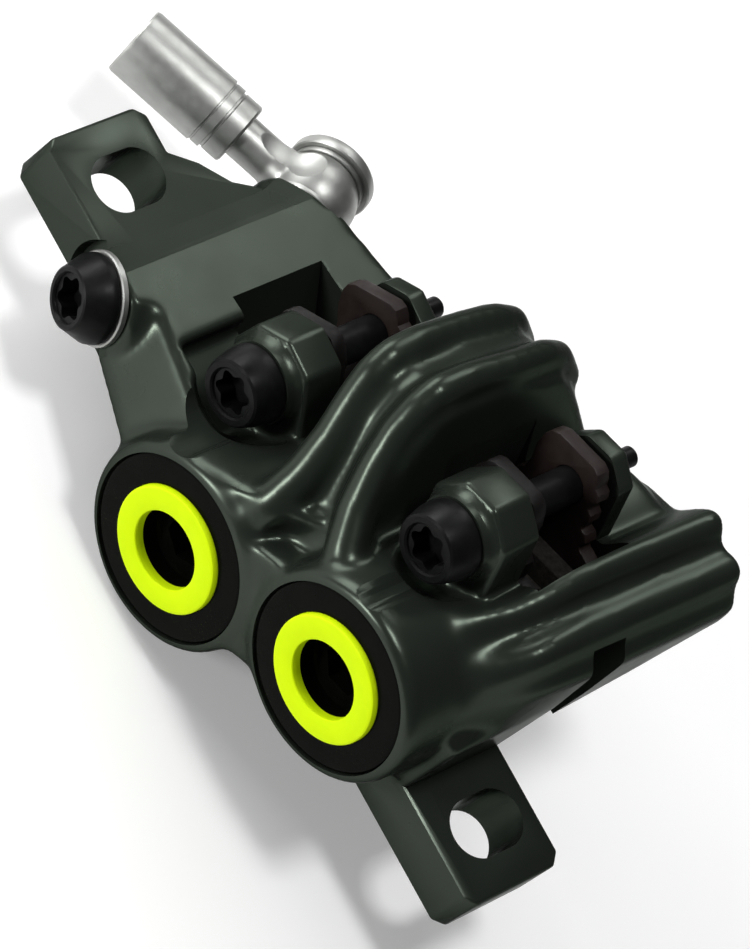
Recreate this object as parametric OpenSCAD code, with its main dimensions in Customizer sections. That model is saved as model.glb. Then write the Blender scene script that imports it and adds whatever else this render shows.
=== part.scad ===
// Four piston disc brake caliper for a bicycle, one-piece body with post mount ears
// Frame: X from the upper ear to the lower ear, Y along the pistons, Z away from the mount face

/* [Mount] */
// Distance between the two mount slots
mount_spacing = 74.2; // [74:0.1:78]
// Thickness of the mount ears
ear_t = 6.3; // [5:0.1:7]
// Width of a mount slot, for an M6 bolt
slot_w = 6.4; // [6:0.1:7]
// Straight length of a mount slot, which lets the caliper be centred sideways
slot_travel = 2.9; // [1:0.1:3.6]
// Ear material beyond the slot centre, away from the body
ear_over = 6.85; // [5.5:0.05:9]
// Ear material beyond the slot centre, towards the outer side
ear_outer = 7.3; // [6.8:0.1:8]
// Ear material beyond the slot centre, towards the rotor
ear_inner = 6.4; // [5.8:0.1:6.5]

/* [Pistons] */
// Diameter of each of the four pistons
piston_d = 17; // [16:0.5:17]
// Distance between the two pistons of one side
piston_pitch = 22.9; // [22.5:0.1:23.6]
// Length of a piston
piston_len = 9.8; // [9:0.1:10.4]
// Radial gap between a piston and its bore
piston_gap = 0.04; // [0.03:0.01:0.08]
// Tilt of the piston line from the mount face, in degrees
tilt = 30.65; // [29:0.05:32]
// Place of the middle of the piston line along the mount line
core_x = 8.0; // [7:0.1:9]
// Height of the middle of the piston line above the mount face
core_z = 6.8; // [6:0.1:7.6]

/* [Rotor] */
// Place of the rotor's middle plane, measured from the mount slots
rotor_plane = 9.0; // [8.9:0.05:9.4]
// Diameter of the rotor that the caliper is made for
rotor_d = 160; // [158:1:162]
// Distance from the rotor's centre to the piston line
rotor_drop = 71.3; // [70.5:0.1:72]
// Width of the slot in the body that the rotor runs in
rotor_slot = 4.6; // [4.2:0.1:4.8]
// Gap between the rotor's edge and the roof of its slot
rotor_clear = 1.5; // [1:0.1:2]

/* [Pads] */
// Thickness of the friction lining
lining_t = 2.5; // [2:0.1:2.6]
// Thickness of the pad's backing plate
plate_t = 1.8; // [1.5:0.1:2]
// Free distance between the two linings at rest
pad_gap = 2.6; // [2.4:0.1:3]
// Width of a pad along the rotor
pad_w = 15.2; // [14:0.1:15.6]
// Height of the pad below the piston centre
pad_below = 8.0; // [6.5:0.1:8.4]
// Height of the lining above the piston centre
lining_above = 8.0; // [6:0.1:8.6]
// Width of the tab that hangs on the pad screw
tab_w = 9.2; // [8.4:0.1:10]
// Sideways offset of the tab from the pad screw
tab_shift = 1.0; // [0:0.1:1.2]
// Height of the tab above the pad screw
tab_above = 4.2; // [3.6:0.1:4.6]
// Distance from the piston centre to the pad screw
screw_rise = 15.6; // [15.2:0.1:16.2]
// Depth of one half of the pad pocket, measured from the rotor plane
pocket_half = 6.4; // [6.2:0.1:6.8]
// Gap between the pad and the pocket's end walls
pad_side_gap = 0.15; // [0.1:0.05:0.4]
// Extra width of the upper window beyond the pad
window_extra = 2.6; // [1:0.1:3]

/* [Body] */
// Distance from the rotor plane to the rim of the outer housings
outer_face = 23.6; // [23:0.1:25]
// Thickness of the floor behind the pistons on the inner side
floor_t = 2.4; // [2:0.1:3]
// Radius of the housing round each piston
housing_r = 11.3; // [11.1:0.1:11.6]
// Distance from the mount centre to the body's end face at the upper ear
body_upper = 31.0; // [30.5:0.1:31.5]
// Distance from the mount centre to the body's end face at the lower ear
body_lower = 30.5; // [30:0.1:31.2]
// Height of the flat panel beside the upper ear
panel_z = 8.0; // [7.8:0.1:8.6]
// Height of the middle bridge above the piston line
hump_top = 27.2; // [25:0.1:28]
// Half width of the middle bridge
hump_half = 5.7; // [5.2:0.1:6]
// Distance of the middle bridge from the middle of the piston line
hump_shift = 0.75; // [0.3:0.05:1]
// Distance between the two ribs of the middle bridge
rib_pitch = 4.4; // [4:0.1:5]
// Height by which the ribs stand above the groove between them
rib_rise = 1.2; // [0.8:0.1:1.6]
// Distance from the rotor plane to the faces of the outer screw lugs
lug_outer = 13.0; // [12.4:0.1:13.4]
// Distance from the rotor plane to the faces of the inner screw lugs
lug_inner = 8.8; // [8.6:0.1:10]
// Radius of the screw lugs across their flats
lug_r = 5.2; // [4.8:0.1:5.4]
// Height of the round seat on each outer lug
lug_seat = 1.2; // [0.6:0.1:1.6]

/* [Bore caps] */
// Diameter of a bore cap
cap_d = 20.0; // [19.5:0.1:20.4]
// Thickness of a bore cap's disc
cap_t = 3.5; // [3:0.1:3.8]
// Depth of the cap's face below the rim of its housing
cap_sink = 0.6; // [0.3:0.1:0.8]
// Length of the plug behind the disc
plug_len = 2.9; // [2.6:0.1:3.2]
// Outer diameter of the coloured ring
ring_d = 13.6; // [12.5:0.1:14.5]
// Diameter of the ring's hole and of the cap's recess
recess_d = 8.4; // [7.6:0.1:9]
// Thickness of the coloured ring
ring_t = 1.2; // [0.8:0.1:1.6]
// Depth of the ring's seat in the face of the cap
ring_seat = 0.2; // [0.1:0.1:0.4]
// Depth of the recess in the middle of the cap
recess_depth = 2.4; // [1.6:0.1:2.6]
// Width across flats of the cap's socket
cap_socket = 5.0; // [4:0.5:5]

/* [Screws and seals] */
// Shank diameter of the pad screws
pin_d = 4.0; // [3.4:0.1:4.2]
// Largest diameter of a pad screw head
pin_head_d = 8.4; // [7.6:0.1:8.6]
// Length of a pad screw head
pin_head_len = 3.8; // [3:0.1:4.4]
// Length by which the tip of a pad screw stands out of the inner lug
pin_tip = 4.4; // [3:0.1:4.6]
// Diameter of the thin end of a pad screw
tip_d = 2.2; // [1.8:0.1:2.6]
// Gap between a pad screw and what slides on it
pin_gap = 0.08; // [0.05:0.01:0.1]
// Largest diameter of the bleed screw head
bleed_head_d = 9.4; // [8.6:0.1:9.8]
// Length of the bleed screw head
bleed_head_len = 3.5; // [3:0.1:4]
// Thickness of the washer under the bleed screw head
bleed_washer_t = 0.8; // [0.6:0.1:1.2]
// Width of the six-lobed sockets in the screw heads
lobe_d = 4.4; // [3.6:0.1:4.8]
// Width of the square seals round the pistons
seal_w = 1.9; // [1.6:0.1:2.2]
// Radial height of the square seals
seal_h = 1.4; // [1.3:0.05:1.45]
// Width of the rings that seal the bore caps
oring_w = 1.3; // [1:0.1:1.5]
// Diameter of the magnet in each piston
magnet_d = 8; // [6:0.5:9]
// Thickness of the magnets
magnet_t = 2.5; // [1.5:0.1:3]

/* [Hose fitting] */
// Diameter of the round eye of the hose fitting
eye_d = 9.7; // [9.2:0.1:10.2]
// Width of the eye between its flat faces
eye_w = 5.6; // [5:0.1:6.4]
// Diameter of the hollow bolt through the eye
bolt_d = 5; // [4.5:0.1:5.4]
// Diameter of the hollow bolt's head
bolt_head_d = 9.8; // [9:0.1:10.2]
// Thickness of the hollow bolt's head
bolt_head_t = 1.4; // [1.2:0.1:2]
// Thickness of the sealing washers
washer_t = 0.6; // [0.5:0.1:0.9]
// Diameter of the neck between the eye and the hose sleeve
neck_d = 4.2; // [3.8:0.1:4.8]
// Distance from the bolt axis to the inner end of the hose sleeve
sleeve_start = 9.8; // [9:0.1:11]
// Length of the hose sleeve
sleeve_len = 14.8; // [12:0.1:16]
// Outer diameter of the hose sleeve
sleeve_d = 7.9; // [7.4:0.1:8]
// Diameter of the hose that the sleeve takes
hose_d = 5.6; // [5:0.1:5.8]

/* [Hidden] */
$fn = 64;
cut = 1;
fit = 0.02;

// Sides of the rotor and ends of the piston line
OUTER = -1;
INNER = 1;
UPPER = -1;
LOWER = 1;

// Pads and pistons, as distances from the rotor plane
lining_face = pad_gap / 2;
plate_face = lining_face + lining_t;
piston_face = plate_face + plate_t;
piston_back = piston_face + piston_len;
chamber = 0.8;
piston_travel = lining_face - 0.05;
bore_start = piston_face - piston_travel - 0.1;
bore_end = piston_back + chamber;
inner_face = bore_end + floor_t;
dome_r = piston_d / 2;
dome_start = inner_face - (housing_r - dome_r);
bore_d = piston_d + 2 * piston_gap;
fan = atan(piston_pitch / 2 / rotor_drop);
slot_r = rotor_d / 2 + rotor_clear;
tab_top = screw_rise + tab_above;

// Seals, plugs and their grooves
seal_from = pocket_half + 2.4;
seal_gap = 0.05;
groove_d = piston_d + 2 * (seal_gap + seal_h + fit);
plug_d = bore_d - 2 * fit;
plug_end = outer_face - cap_t - plug_len;
oring_from = plug_end + 0.6;
oring_root = plug_d - 2.2;
cap_face = outer_face - cap_sink;

// Ears and slots
slot_half = slot_travel / 2;
ear_end = mount_spacing / 2 + ear_over;
ear_root = 8;
ear_corner = 1.2;

// Ports: the bleed screw on the outer side and the hose bolt on the inner side
port_z = 3.4;
bleed_turn = 19.3;
bleed_seat = [-27.35, -8.15, port_z];
bleed_shank_d = 5;
bleed_reach = 6;
hose_turn = 21;
hose_seat = [-27.7, 19.7, port_z];
eye_centre = washer_t + eye_w / 2;
bolt_reach = 8;
bolt_hole_d = 2.2;
gallery_d = 2.4;
neck_dip = 5.1;
barb_d = 3;
barb_len = 9;
eye_gap = 0.06;
eye_play = 0.03;

// Outlines in the frame of the piston line
outer_flank = -13.4;
block_far = rotor_plane + dome_start - 0.6;
roof = housing_r;
waist_low = 6.6;
waist_high = 7.4;
rim = 0.5;
rib_w = 2.8;
arm_far = 17.6;
arm_near = 16.0;
rib_one = [21.4, 10.7];
rib_two = [25.9, 25.6];
arm_rib_r = 1.6;
end_low = 16.5;
end_x = 27.8;

// A point of the piston frame, along the piston line and away from the rotor, in X and Z
function xz(u, v) = [
    core_x + u * cos(tilt) - v * sin(tilt),
    core_z + u * sin(tilt) + v * cos(tilt)
];

// Piston frame: x along the piston line, y across the rotor, z away from the rotor
module at_core() {
    translate([core_x, rotor_plane, core_z])
        rotate([0, -tilt, 0])
            children();
}

// Frame of one pad, whose z is the rotor's radius through one piston centre
module at_pad(place, side) {
    at_core()
        translate([place * piston_pitch / 2, 0, 0])
            rotate([0, place * fan, 0])
                rotate([0, 0, side == INNER ? 180 : 0])
                    children();
}

// Lets z point away from the rotor plane, starting at a given distance from it
module outward(from) {
    rotate([90, 0, 0])
        translate([0, 0, from])
            children();
}

// Extrudes a shape drawn in x and z between two places along y
module along_y(from, to) {
    translate([0, to, 0])
        rotate([90, 0, 0])
            linear_extrude(height = to - from)
                children();
}

// Extrudes a shape drawn in y and z between two places along x
module along_x(from, to) {
    translate([from, 0, 0])
        rotate([90, 0, 90])
            linear_extrude(height = to - from)
                children();
}

// Six-lobed socket of a screw head
module lobes(d, h) {
    cylinder(d = d * 0.76, h = h);
    for (a = [0:60:300])
        rotate([0, 0, a])
            translate([d * 0.36, 0, 0])
                cylinder(d = d * 0.28, h = h, $fn = 24);
}

// Seat frames of the two ports, whose z points out of the body
module at_bleed() {
    translate(bleed_seat)
        rotate([0, 0, -bleed_turn])
            rotate([90, 0, 0])
                children();
}

module at_hose() {
    translate(hose_seat)
        rotate([0, 0, hose_turn])
            rotate([-90, 0, 0])
                children();
}

// A drilling between two points
module drilling(a, b) {
    v = b - a;
    translate(a)
        rotate([0, acos(v[2] / norm(v)), atan2(v[1], v[0])])
            cylinder(d = gallery_d, h = norm(v), $fn = 32);
}

// Caliper body

module slot_outline() {
    square([slot_w, slot_travel], center = true);
    for (s = [-1, 1])
        translate([0, s * slot_half])
            circle(d = slot_w);
}

module ear(end, body_end) {
    span = ear_end - body_end + ear_root;
    translate([end * (ear_end - span / 2), 0, 0])
        linear_extrude(height = ear_t)
            difference() {
                translate([-span / 2, -ear_outer])
                    square([span, ear_outer + ear_inner]);
                for (y = [-ear_outer, ear_inner])
                    translate([end * span / 2, y])
                        rotate([0, 0, 45])
                            square(ear_corner * sqrt(2), center = true);
            }
}

// Web that widens the upper ear towards the hose port
module ear_web() {
    linear_extrude(height = ear_t)
        polygon([
            [-body_upper + 4, ear_inner - 4],
            [-body_upper - 8, ear_inner - 4],
            [-body_upper - 7.4, ear_inner],
            [-body_upper - 5.2, ear_inner + 3],
            [-body_upper - 2.1, ear_inner + 5.7],
            [-body_upper, ear_inner + 9.6],
            [-body_upper + 4, ear_inner + 9.6]
        ]);
}

// Outline of the block between the ears, seen along the pistons
module block_outline() {
    polygon([
        [-body_upper, 0],
        [-body_upper, ear_t],
        [-body_upper + 3, panel_z - 0.4],
        [xz(-piston_pitch / 2, roof)[0] - 3.5, panel_z + 0.6],
        xz(-piston_pitch / 2, roof),
        xz(piston_pitch / 2, roof),
        [body_lower, core_z + 9],
        [body_lower, 0]
    ]);
}

// Outline of the arm at the lower end, with its two ribs
module arm_outline() {
    polygon([
        xz(12, 0),
        xz(12, roof - 0.8),
        xz(rib_one[0], rib_one[1] + 0.6),
        rib_two,
        [body_lower - 5, 22],
        [body_lower, 22],
        [body_lower, ear_t]
    ]);
    translate(xz(rib_one[0], rib_one[1]))
        circle(r = arm_rib_r);
    translate(rib_two)
        circle(r = arm_rib_r);
    translate([body_lower - 5, 22])
        circle(r = 5);
}

// Outline of the body seen from above, with its slanted port flanks
module plan_outline() {
    far = rotor_plane + arm_far;
    polygon([
        [-body_upper, -ear_outer],
        [-26.6, -8.9],
        [-12, outer_flank],
        [-2, outer_flank],
        [8, -ear_outer],
        [body_lower, -ear_outer],
        [body_lower, far - 7],
        [body_lower - 3.6, far],
        [-8, far],
        [-17.5, 22.8],
        [-25.3, 21.6],
        [-29.6, 19],
        [-body_upper, ear_inner + 9.6]
    ]);
}

module block() {
    intersection() {
        union() {
            along_y(outer_flank, block_far)
                block_outline();
            along_y(rotor_plane - arm_near, rotor_plane + arm_far)
                arm_outline();
        }
        translate([0, 0, -cut])
            linear_extrude(height = 60)
                plan_outline();
    }
}

// One side's pair of piston housings, with the waist between them
module housing_pair(h1, h2, r2, waist) {
    for (s = [UPPER, LOWER])
        translate([s * piston_pitch / 2, 0, 0]) {
            cylinder(r = housing_r, h = h1);
            translate([0, 0, h1])
                cylinder(r1 = housing_r, r2 = r2, h = h2 - h1);
        }
    translate([-piston_pitch / 2, -waist_low, 0])
        cube([piston_pitch, waist_low + waist_high, waist]);
}

module housings() {
    at_core()
        outward(0)
            housing_pair(outer_face - rim, outer_face, housing_r - rim, outer_face - rim);
    at_core()
        rotate([-90, 0, 0])
            mirror([0, 1, 0])
                housing_pair(dome_start, inner_face, dome_r, inner_face - rim);
}

// Side outline of the middle bridge, lowered from its highest by a given amount
module hump_side(drop) {
    polygon([
        [-20.4, 6],
        [-20.4, 11.2 - drop],
        [-16.6, 17.0 - drop],
        [-12.6, 23.0 - drop],
        [-10.0, hump_top - 1.0 - drop],
        [-8.0, hump_top - drop],
        [0, hump_top - 0.6 - drop],
        [9.0, hump_top - 2.6 - drop],
        [11.4, 22.6 - drop],
        [13.4, 19.6 - drop],
        [16.0, 15.0 - drop],
        [inner_face, 10.4 - drop],
        [inner_face, 6]
    ]);
}

module hump() {
    at_core()
        translate([hump_shift, 0, 0]) {
            along_x(-hump_half, hump_half)
                hump_side(rib_rise + 2.4);
            along_x(-hump_half + 1.2, hump_half - 1.2)
                hump_side(rib_rise);
            for (s = [-1, 1])
                along_x(s * rib_pitch / 2 - rib_w / 2, s * rib_pitch / 2 + rib_w / 2)
                    hump_side(0);
        }
}

// Lug that carries one end of a pad screw, eight-sided with a straight foot
module lug(place, side) {
    face = side == OUTER ? lug_outer - lug_seat : lug_inner;
    r = side == OUTER ? lug_r : lug_r - 0.9;
    root = pocket_half - 0.4;
    at_pad(place, side)
        outward(root)
            linear_extrude(height = face - root) {
                translate([0, screw_rise])
                    rotate([0, 0, 22.5])
                        circle(r = r / cos(22.5), $fn = 8);
                translate([-r, 5])
                    square([2 * r, screw_rise - 5]);
            }
    if (side == OUTER)
        at_pad(place, side)
            translate([0, 0, screw_rise])
                outward(face - 1)
                    cylinder(d = pin_head_d + 0.8, h = lug_seat + 1);
}

module bosses() {
    at_bleed()
        translate([0, 0, -bleed_reach])
            cylinder(d = bleed_head_d + 1.4, h = bleed_reach);
    at_hose()
        translate([0, 0, -bolt_reach])
            cylinder(d = bolt_head_d + 1.2, h = bolt_reach);
}

module rotor_gap() {
    at_core()
        translate([0, 0, -rotor_drop])
            rotate([90, 0, 0])
                cylinder(r = slot_r, h = rotor_slot, center = true);
}

// Pocket that holds the two pads of one place
module pad_pocket(place) {
    half = pad_w / 2 + pad_side_gap;
    extra = place == UPPER ? window_extra : 0;
    at_pad(place, OUTER)
        translate([-half - extra, -pocket_half, -20])
            cube([2 * half + extra, 2 * pocket_half, 60]);
}

module outer_bore(place) {
    at_pad(place, OUTER) {
        outward(bore_start)
            cylinder(d = bore_d, h = outer_face - bore_start + cut);
        outward(outer_face - cap_t)
            cylinder(d = cap_d + 2 * fit, h = cap_t + cut);
        outward(seal_from)
            cylinder(d = groove_d, h = seal_w + 2 * fit);
    }
}

module inner_bore(place) {
    at_pad(place, INNER) {
        outward(bore_start)
            cylinder(d = bore_d, h = bore_end - bore_start);
        outward(seal_from)
            cylinder(d = groove_d, h = seal_w + 2 * fit);
    }
}

module pin_hole(place) {
    at_pad(place, OUTER)
        translate([0, 0, screw_rise])
            outward(-lug_inner - cut) {
                cylinder(d = pin_d + 2 * fit, h = lug_inner + lug_outer + 2 * cut);
                translate([0, 0, lug_inner + lug_outer + cut])
                    cylinder(d = pin_head_d + 1.2, h = 12);
            }
}

// Drillings that join the ports and the four bores
module galleries() {
    at_bleed()
        translate([0, 0, -bleed_reach])
            cylinder(d = bleed_shank_d + 2 * fit, h = bleed_reach + cut);
    at_hose()
        translate([0, 0, -bolt_reach])
            cylinder(d = bolt_d + 2 * fit, h = bolt_reach + cut);
    drilling([-25.6, -3, port_z], [-24.2, 14, port_z]);
    drilling([-24.8, 0, port_z], [-8, rotor_plane - plug_end + 1.2, port_z]);
    drilling([-23.6, 12.5, port_z], [-8, rotor_plane + bore_end - 0.5, port_z]);
    at_core()
        for (y = [-bore_end - 0.4, bore_end - 0.4])
            translate([-piston_pitch / 2, y, 0])
                rotate([0, 90, 0])
                    cylinder(d = gallery_d, h = piston_pitch, $fn = 32);
}

// Slope of the near flank below the bleed port
module flank_cut() {
    translate([-26.6, -8.9, 1.2])
        rotate([0, 0, -17.1])
            rotate([-24, 0, 0])
                translate([0, -12, -6])
                    cube([16, 12, 26]);
}

// Step under the inner end of the arm
module arm_step() {
    translate([end_x, rotor_plane, -cut])
        cube([12, 30, end_low + cut]);
}

module caliper_body() {
    color([0.13, 0.16, 0.15])
        difference() {
            union() {
                difference() {
                    block();
                    flank_cut();
                    arm_step();
                }
                housings();
                hump();
                for (place = [UPPER, LOWER])
                    for (side = [OUTER, INNER])
                        lug(place, side);
                ear(-1, body_upper);
                ear(1, body_lower);
                ear_web();
                bosses();
            }
            for (end = [-1, 1])
                translate([end * mount_spacing / 2, 0, -cut])
                    linear_extrude(height = ear_t + 2 * cut)
                        slot_outline();
            rotor_gap();
            for (place = [UPPER, LOWER]) {
                pad_pocket(place);
                outer_bore(place);
                inner_bore(place);
                pin_hole(place);
            }
            galleries();
            at_bleed()
                cylinder(d = bleed_head_d + 2.4, h = 12);
            at_hose()
                cylinder(d = eye_d + 1.2, h = 14);
        }
}

// Bore caps with their rings and seals

module cap(place) {
    color([0.05, 0.05, 0.055])
        at_pad(place, OUTER)
            difference() {
                union() {
                    outward(plug_end)
                        cylinder(d = plug_d, h = plug_len + cut);
                    outward(outer_face - cap_t)
                        cylinder(d = cap_d, h = cap_t - cap_sink);
                }
                outward(cap_face - ring_seat)
                    cylinder(d = ring_d + 2 * fit, h = cut);
                outward(cap_face - recess_depth)
                    cylinder(d = recess_d, h = recess_depth + cut);
                outward(plug_end + 1)
                    cylinder(d = cap_socket / cos(30), h = cap_t + plug_len, $fn = 6);
                outward(oring_from)
                    difference() {
                        cylinder(d = bore_d + cut, h = oring_w + 2 * fit);
                        cylinder(d = oring_root, h = oring_w + 2 * fit);
                    }
            }
}

module cap_ring(place) {
    color([0.85, 0.97, 0.05])
        at_pad(place, OUTER)
            outward(cap_face - ring_seat)
                difference() {
                    cylinder(d = ring_d, h = ring_t);
                    translate([0, 0, -cut])
                        cylinder(d = recess_d, h = ring_t + 2 * cut);
                }
}

module cap_seal(place) {
    color([0.1, 0.1, 0.1])
        at_pad(place, OUTER)
            outward(oring_from + fit)
                difference() {
                    cylinder(d = bore_d, h = oring_w);
                    translate([0, 0, -cut])
                        cylinder(d = oring_root, h = oring_w + 2 * cut);
                }
}

// Pistons, magnets and piston seals

module piston(place, side) {
    wall = 2.2;
    web = 1.4;
    color([0.2, 0.2, 0.21])
        at_pad(place, side)
            outward(piston_face)
                difference() {
                    union() {
                        cylinder(d = piston_d, h = piston_len - 0.5);
                        translate([0, 0, piston_len - 0.5])
                            cylinder(d1 = piston_d, d2 = piston_d - 1, h = 0.5);
                    }
                    translate([0, 0, -cut])
                        cylinder(d = magnet_d + 2 * fit, h = magnet_t + cut);
                    translate([0, 0, magnet_t + web])
                        cylinder(d = piston_d - 2 * wall, h = piston_len);
                }
}

module magnet(place, side) {
    color([0.72, 0.73, 0.75])
        at_pad(place, side)
            outward(piston_face)
                cylinder(d = magnet_d, h = magnet_t);
}

module piston_seal(place, side) {
    color([0.08, 0.08, 0.08])
        at_pad(place, side)
            outward(seal_from + fit)
                difference() {
                    cylinder(d = groove_d - 2 * fit, h = seal_w);
                    translate([0, 0, -cut])
                        cylinder(d = piston_d + 2 * seal_gap, h = seal_w + 2 * cut);
                }
}

// Brake pads

// Backing plate with a stepped shoulder and the tab for the pad screw
module plate_outline() {
    half = pad_w / 2;
    left = -tab_w / 2 + tab_shift;
    right = tab_w / 2 + tab_shift;
    shoulder = lining_above + 2.2;
    step = shoulder + 2.4;
    polygon([
        [-half + 1.6, -pad_below],
        [half - 1.6, -pad_below],
        [half, -pad_below + 1.6],
        [half, shoulder - 1.2],
        [half - 1.2, shoulder],
        [right + 1, shoulder],
        [right + 1, step],
        [right, step + 0.8],
        [right, tab_top - 1.4],
        [right - 1.4, tab_top],
        [left + 1.4, tab_top],
        [left, tab_top - 1.4],
        [left, step + 0.8],
        [left - 1, step],
        [left - 1, shoulder],
        [-half + 1.2, shoulder],
        [-half, shoulder - 1.2],
        [-half, -pad_below + 1.6]
    ]);
}

module plate(place, side) {
    color([0.3, 0.2, 0.19])
        at_pad(place, side)
            outward(plate_face)
                difference() {
                    linear_extrude(height = plate_t)
                        plate_outline();
                    translate([0, screw_rise, -cut])
                        cylinder(d = pin_d + 2 * pin_gap, h = plate_t + 2 * cut);
                }
}

module lining(place, side) {
    half = pad_w / 2 - 0.3;
    color([0.16, 0.14, 0.13])
        at_pad(place, side)
            outward(lining_face)
                linear_extrude(height = lining_t)
                    polygon([
                        [-half + 2, -pad_below + 0.3],
                        [half - 2, -pad_below + 0.3],
                        [half, -pad_below + 2.3],
                        [half, lining_above - 2],
                        [half - 2, lining_above],
                        [-half + 2, lining_above],
                        [-half, lining_above - 2],
                        [-half, -pad_below + 2.3]
                    ]);
}

// Screws

// Pad screw with a conical head, a straight shank and a thin end
module pad_screw(place) {
    length = lug_outer + lug_inner + pin_tip;
    thin = pin_tip - 2.2;
    at_pad(place, OUTER)
        translate([0, 0, screw_rise])
            outward(lug_outer)
                difference() {
                    union() {
                        cylinder(d = pin_head_d, h = pin_head_len * 0.4);
                        translate([0, 0, pin_head_len * 0.4])
                            cylinder(d1 = pin_head_d, d2 = pin_head_d * 0.76, h = pin_head_len * 0.6);
                        translate([0, 0, thin - length])
                            cylinder(d = pin_d, h = length - thin);
                        translate([0, 0, thin - length - 0.9])
                            cylinder(d1 = tip_d, d2 = pin_d, h = 0.9);
                        translate([0, 0, -length])
                            cylinder(d = tip_d, h = thin);
                    }
                    translate([0, 0, pin_head_len - 2.4])
                        lobes(lobe_d, 2.4 + cut);
                }
}

module pad_screws() {
    color([0.06, 0.06, 0.065])
        for (place = [UPPER, LOWER])
            pad_screw(place);
}

module bleed_screw() {
    color([0.06, 0.06, 0.065])
        at_bleed()
            difference() {
                union() {
                    translate([0, 0, bleed_washer_t]) {
                        cylinder(d = bleed_head_d, h = bleed_head_len * 0.45);
                        translate([0, 0, bleed_head_len * 0.45])
                            cylinder(d1 = bleed_head_d, d2 = bleed_head_d * 0.66, h = bleed_head_len * 0.55);
                    }
                    translate([0, 0, -bleed_reach + 1])
                        cylinder(d = bleed_shank_d, h = bleed_reach);
                }
                translate([0, 0, bleed_washer_t + bleed_head_len - 2.4])
                    lobes(lobe_d, 2.4 + cut);
            }
}

module bleed_washer() {
    color([0.75, 0.76, 0.75])
        at_bleed()
            difference() {
                cylinder(d = bleed_head_d + 0.5, h = bleed_washer_t);
                translate([0, 0, -cut])
                    cylinder(d = bleed_shank_d + 2 * fit, h = bleed_washer_t + 2 * cut);
            }
}

// Hose fitting

// Frame of the eye's centre, whose x points away from the neck
module at_eye() {
    at_hose()
        translate([0, 0, eye_centre])
            rotate([0, 0, -neck_dip])
                children();
}

module hose_fitting() {
    color([0.72, 0.73, 0.72])
        at_eye()
            difference() {
                union() {
                    rotate_extrude()
                        intersection() {
                            circle(d = eye_d);
                            translate([0, eye_play - eye_w / 2])
                                square([eye_d, eye_w - 2 * eye_play]);
                        }
                    rotate([0, -90, 0])
                        cylinder(d = neck_d, h = sleeve_start + 2.4);
                    rotate([0, -90, 0])
                        cylinder(d = barb_d, h = sleeve_start + 2.4 + barb_len);
                }
                cylinder(d = bolt_d + 2 * eye_gap, h = 2 * eye_w, center = true);
                rotate([0, -90, 0])
                    cylinder(d = barb_d / 2, h = 60, $fn = 32);
            }
}

// Sleeve that is crimped over the hose, stepped down to its collar
module hose_sleeve() {
    collar = 2.4;
    color([0.7, 0.71, 0.7])
        at_eye()
            rotate([0, -90, 0])
                translate([0, 0, sleeve_start])
                    difference() {
                        union() {
                            cylinder(d = sleeve_d - 0.7, h = collar);
                            translate([0, 0, collar])
                                cylinder(d = sleeve_d - 0.3, h = sleeve_len - collar);
                            translate([0, 0, collar + 1.4])
                                cylinder(d = sleeve_d, h = sleeve_len - collar - 1.4);
                        }
                        translate([0, 0, -cut])
                            cylinder(d = neck_d + 2 * fit, h = collar + 2 * cut);
                        translate([0, 0, collar])
                            cylinder(d = hose_d, h = sleeve_len);
                    }
}

module hose_washer(from) {
    color([0.74, 0.74, 0.72])
        at_hose()
            translate([0, 0, from])
                difference() {
                    cylinder(d = bolt_head_d - 1.2, h = washer_t);
                    translate([0, 0, -cut])
                        cylinder(d = bolt_d + 2 * fit, h = washer_t + 2 * cut);
                }
}

// Hollow bolt that feeds the hose port through the eye
module hose_bolt() {
    stack = 2 * washer_t + eye_w;
    color([0.74, 0.75, 0.74])
        at_hose()
            difference() {
                union() {
                    translate([0, 0, -bolt_reach + 1])
                        cylinder(d = bolt_d, h = bolt_reach - 1 + stack);
                    translate([0, 0, stack])
                        cylinder(d = bolt_head_d, h = bolt_head_t);
                }
                translate([0, 0, -bolt_reach])
                    cylinder(d = bolt_hole_d, h = bolt_reach + eye_centre + 1, $fn = 32);
                translate([0, 0, eye_centre])
                    rotate([0, 90, 0])
                        cylinder(d = bolt_hole_d, h = bolt_d * 2, center = true, $fn = 32);
                translate([0, 0, stack + bolt_head_t - 1.6])
                    lobes(lobe_d, 1.6 + cut);
            }
}

caliper_body();
cap(UPPER);  // cap_upper
cap(LOWER);  // cap_lower
cap_ring(UPPER);  // cap_ring_upper
cap_ring(LOWER);  // cap_ring_lower
cap_seal(UPPER);  // cap_seal_upper
cap_seal(LOWER);  // cap_seal_lower
piston(UPPER, OUTER);  // piston_outer_upper
piston(LOWER, OUTER);  // piston_outer_lower
piston(UPPER, INNER);  // piston_inner_upper
piston(LOWER, INNER);  // piston_inner_lower
magnet(UPPER, OUTER);  // magnet_outer_upper
magnet(LOWER, OUTER);  // magnet_outer_lower
magnet(UPPER, INNER);  // magnet_inner_upper
magnet(LOWER, INNER);  // magnet_inner_lower
piston_seal(UPPER, OUTER);  // seal_outer_upper
piston_seal(LOWER, OUTER);  // seal_outer_lower
piston_seal(UPPER, INNER);  // seal_inner_upper
piston_seal(LOWER, INNER);  // seal_inner_lower
plate(UPPER, OUTER);  // plate_outer_upper
plate(LOWER, OUTER);  // plate_outer_lower
plate(UPPER, INNER);  // plate_inner_upper
plate(LOWER, INNER);  // plate_inner_lower
lining(UPPER, OUTER);  // lining_outer_upper
lining(LOWER, OUTER);  // lining_outer_lower
lining(UPPER, INNER);  // lining_inner_upper
lining(LOWER, INNER);  // lining_inner_lower
pad_screws();
bleed_screw();
bleed_washer();
hose_fitting();
hose_bolt();
hose_washer(0);  // hose_washer_inner
hose_washer(washer_t + eye_w);  // hose_washer_outer
hose_sleeve();
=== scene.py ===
import math

import bmesh
import bpy
from mathutils import Matrix, Vector


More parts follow.
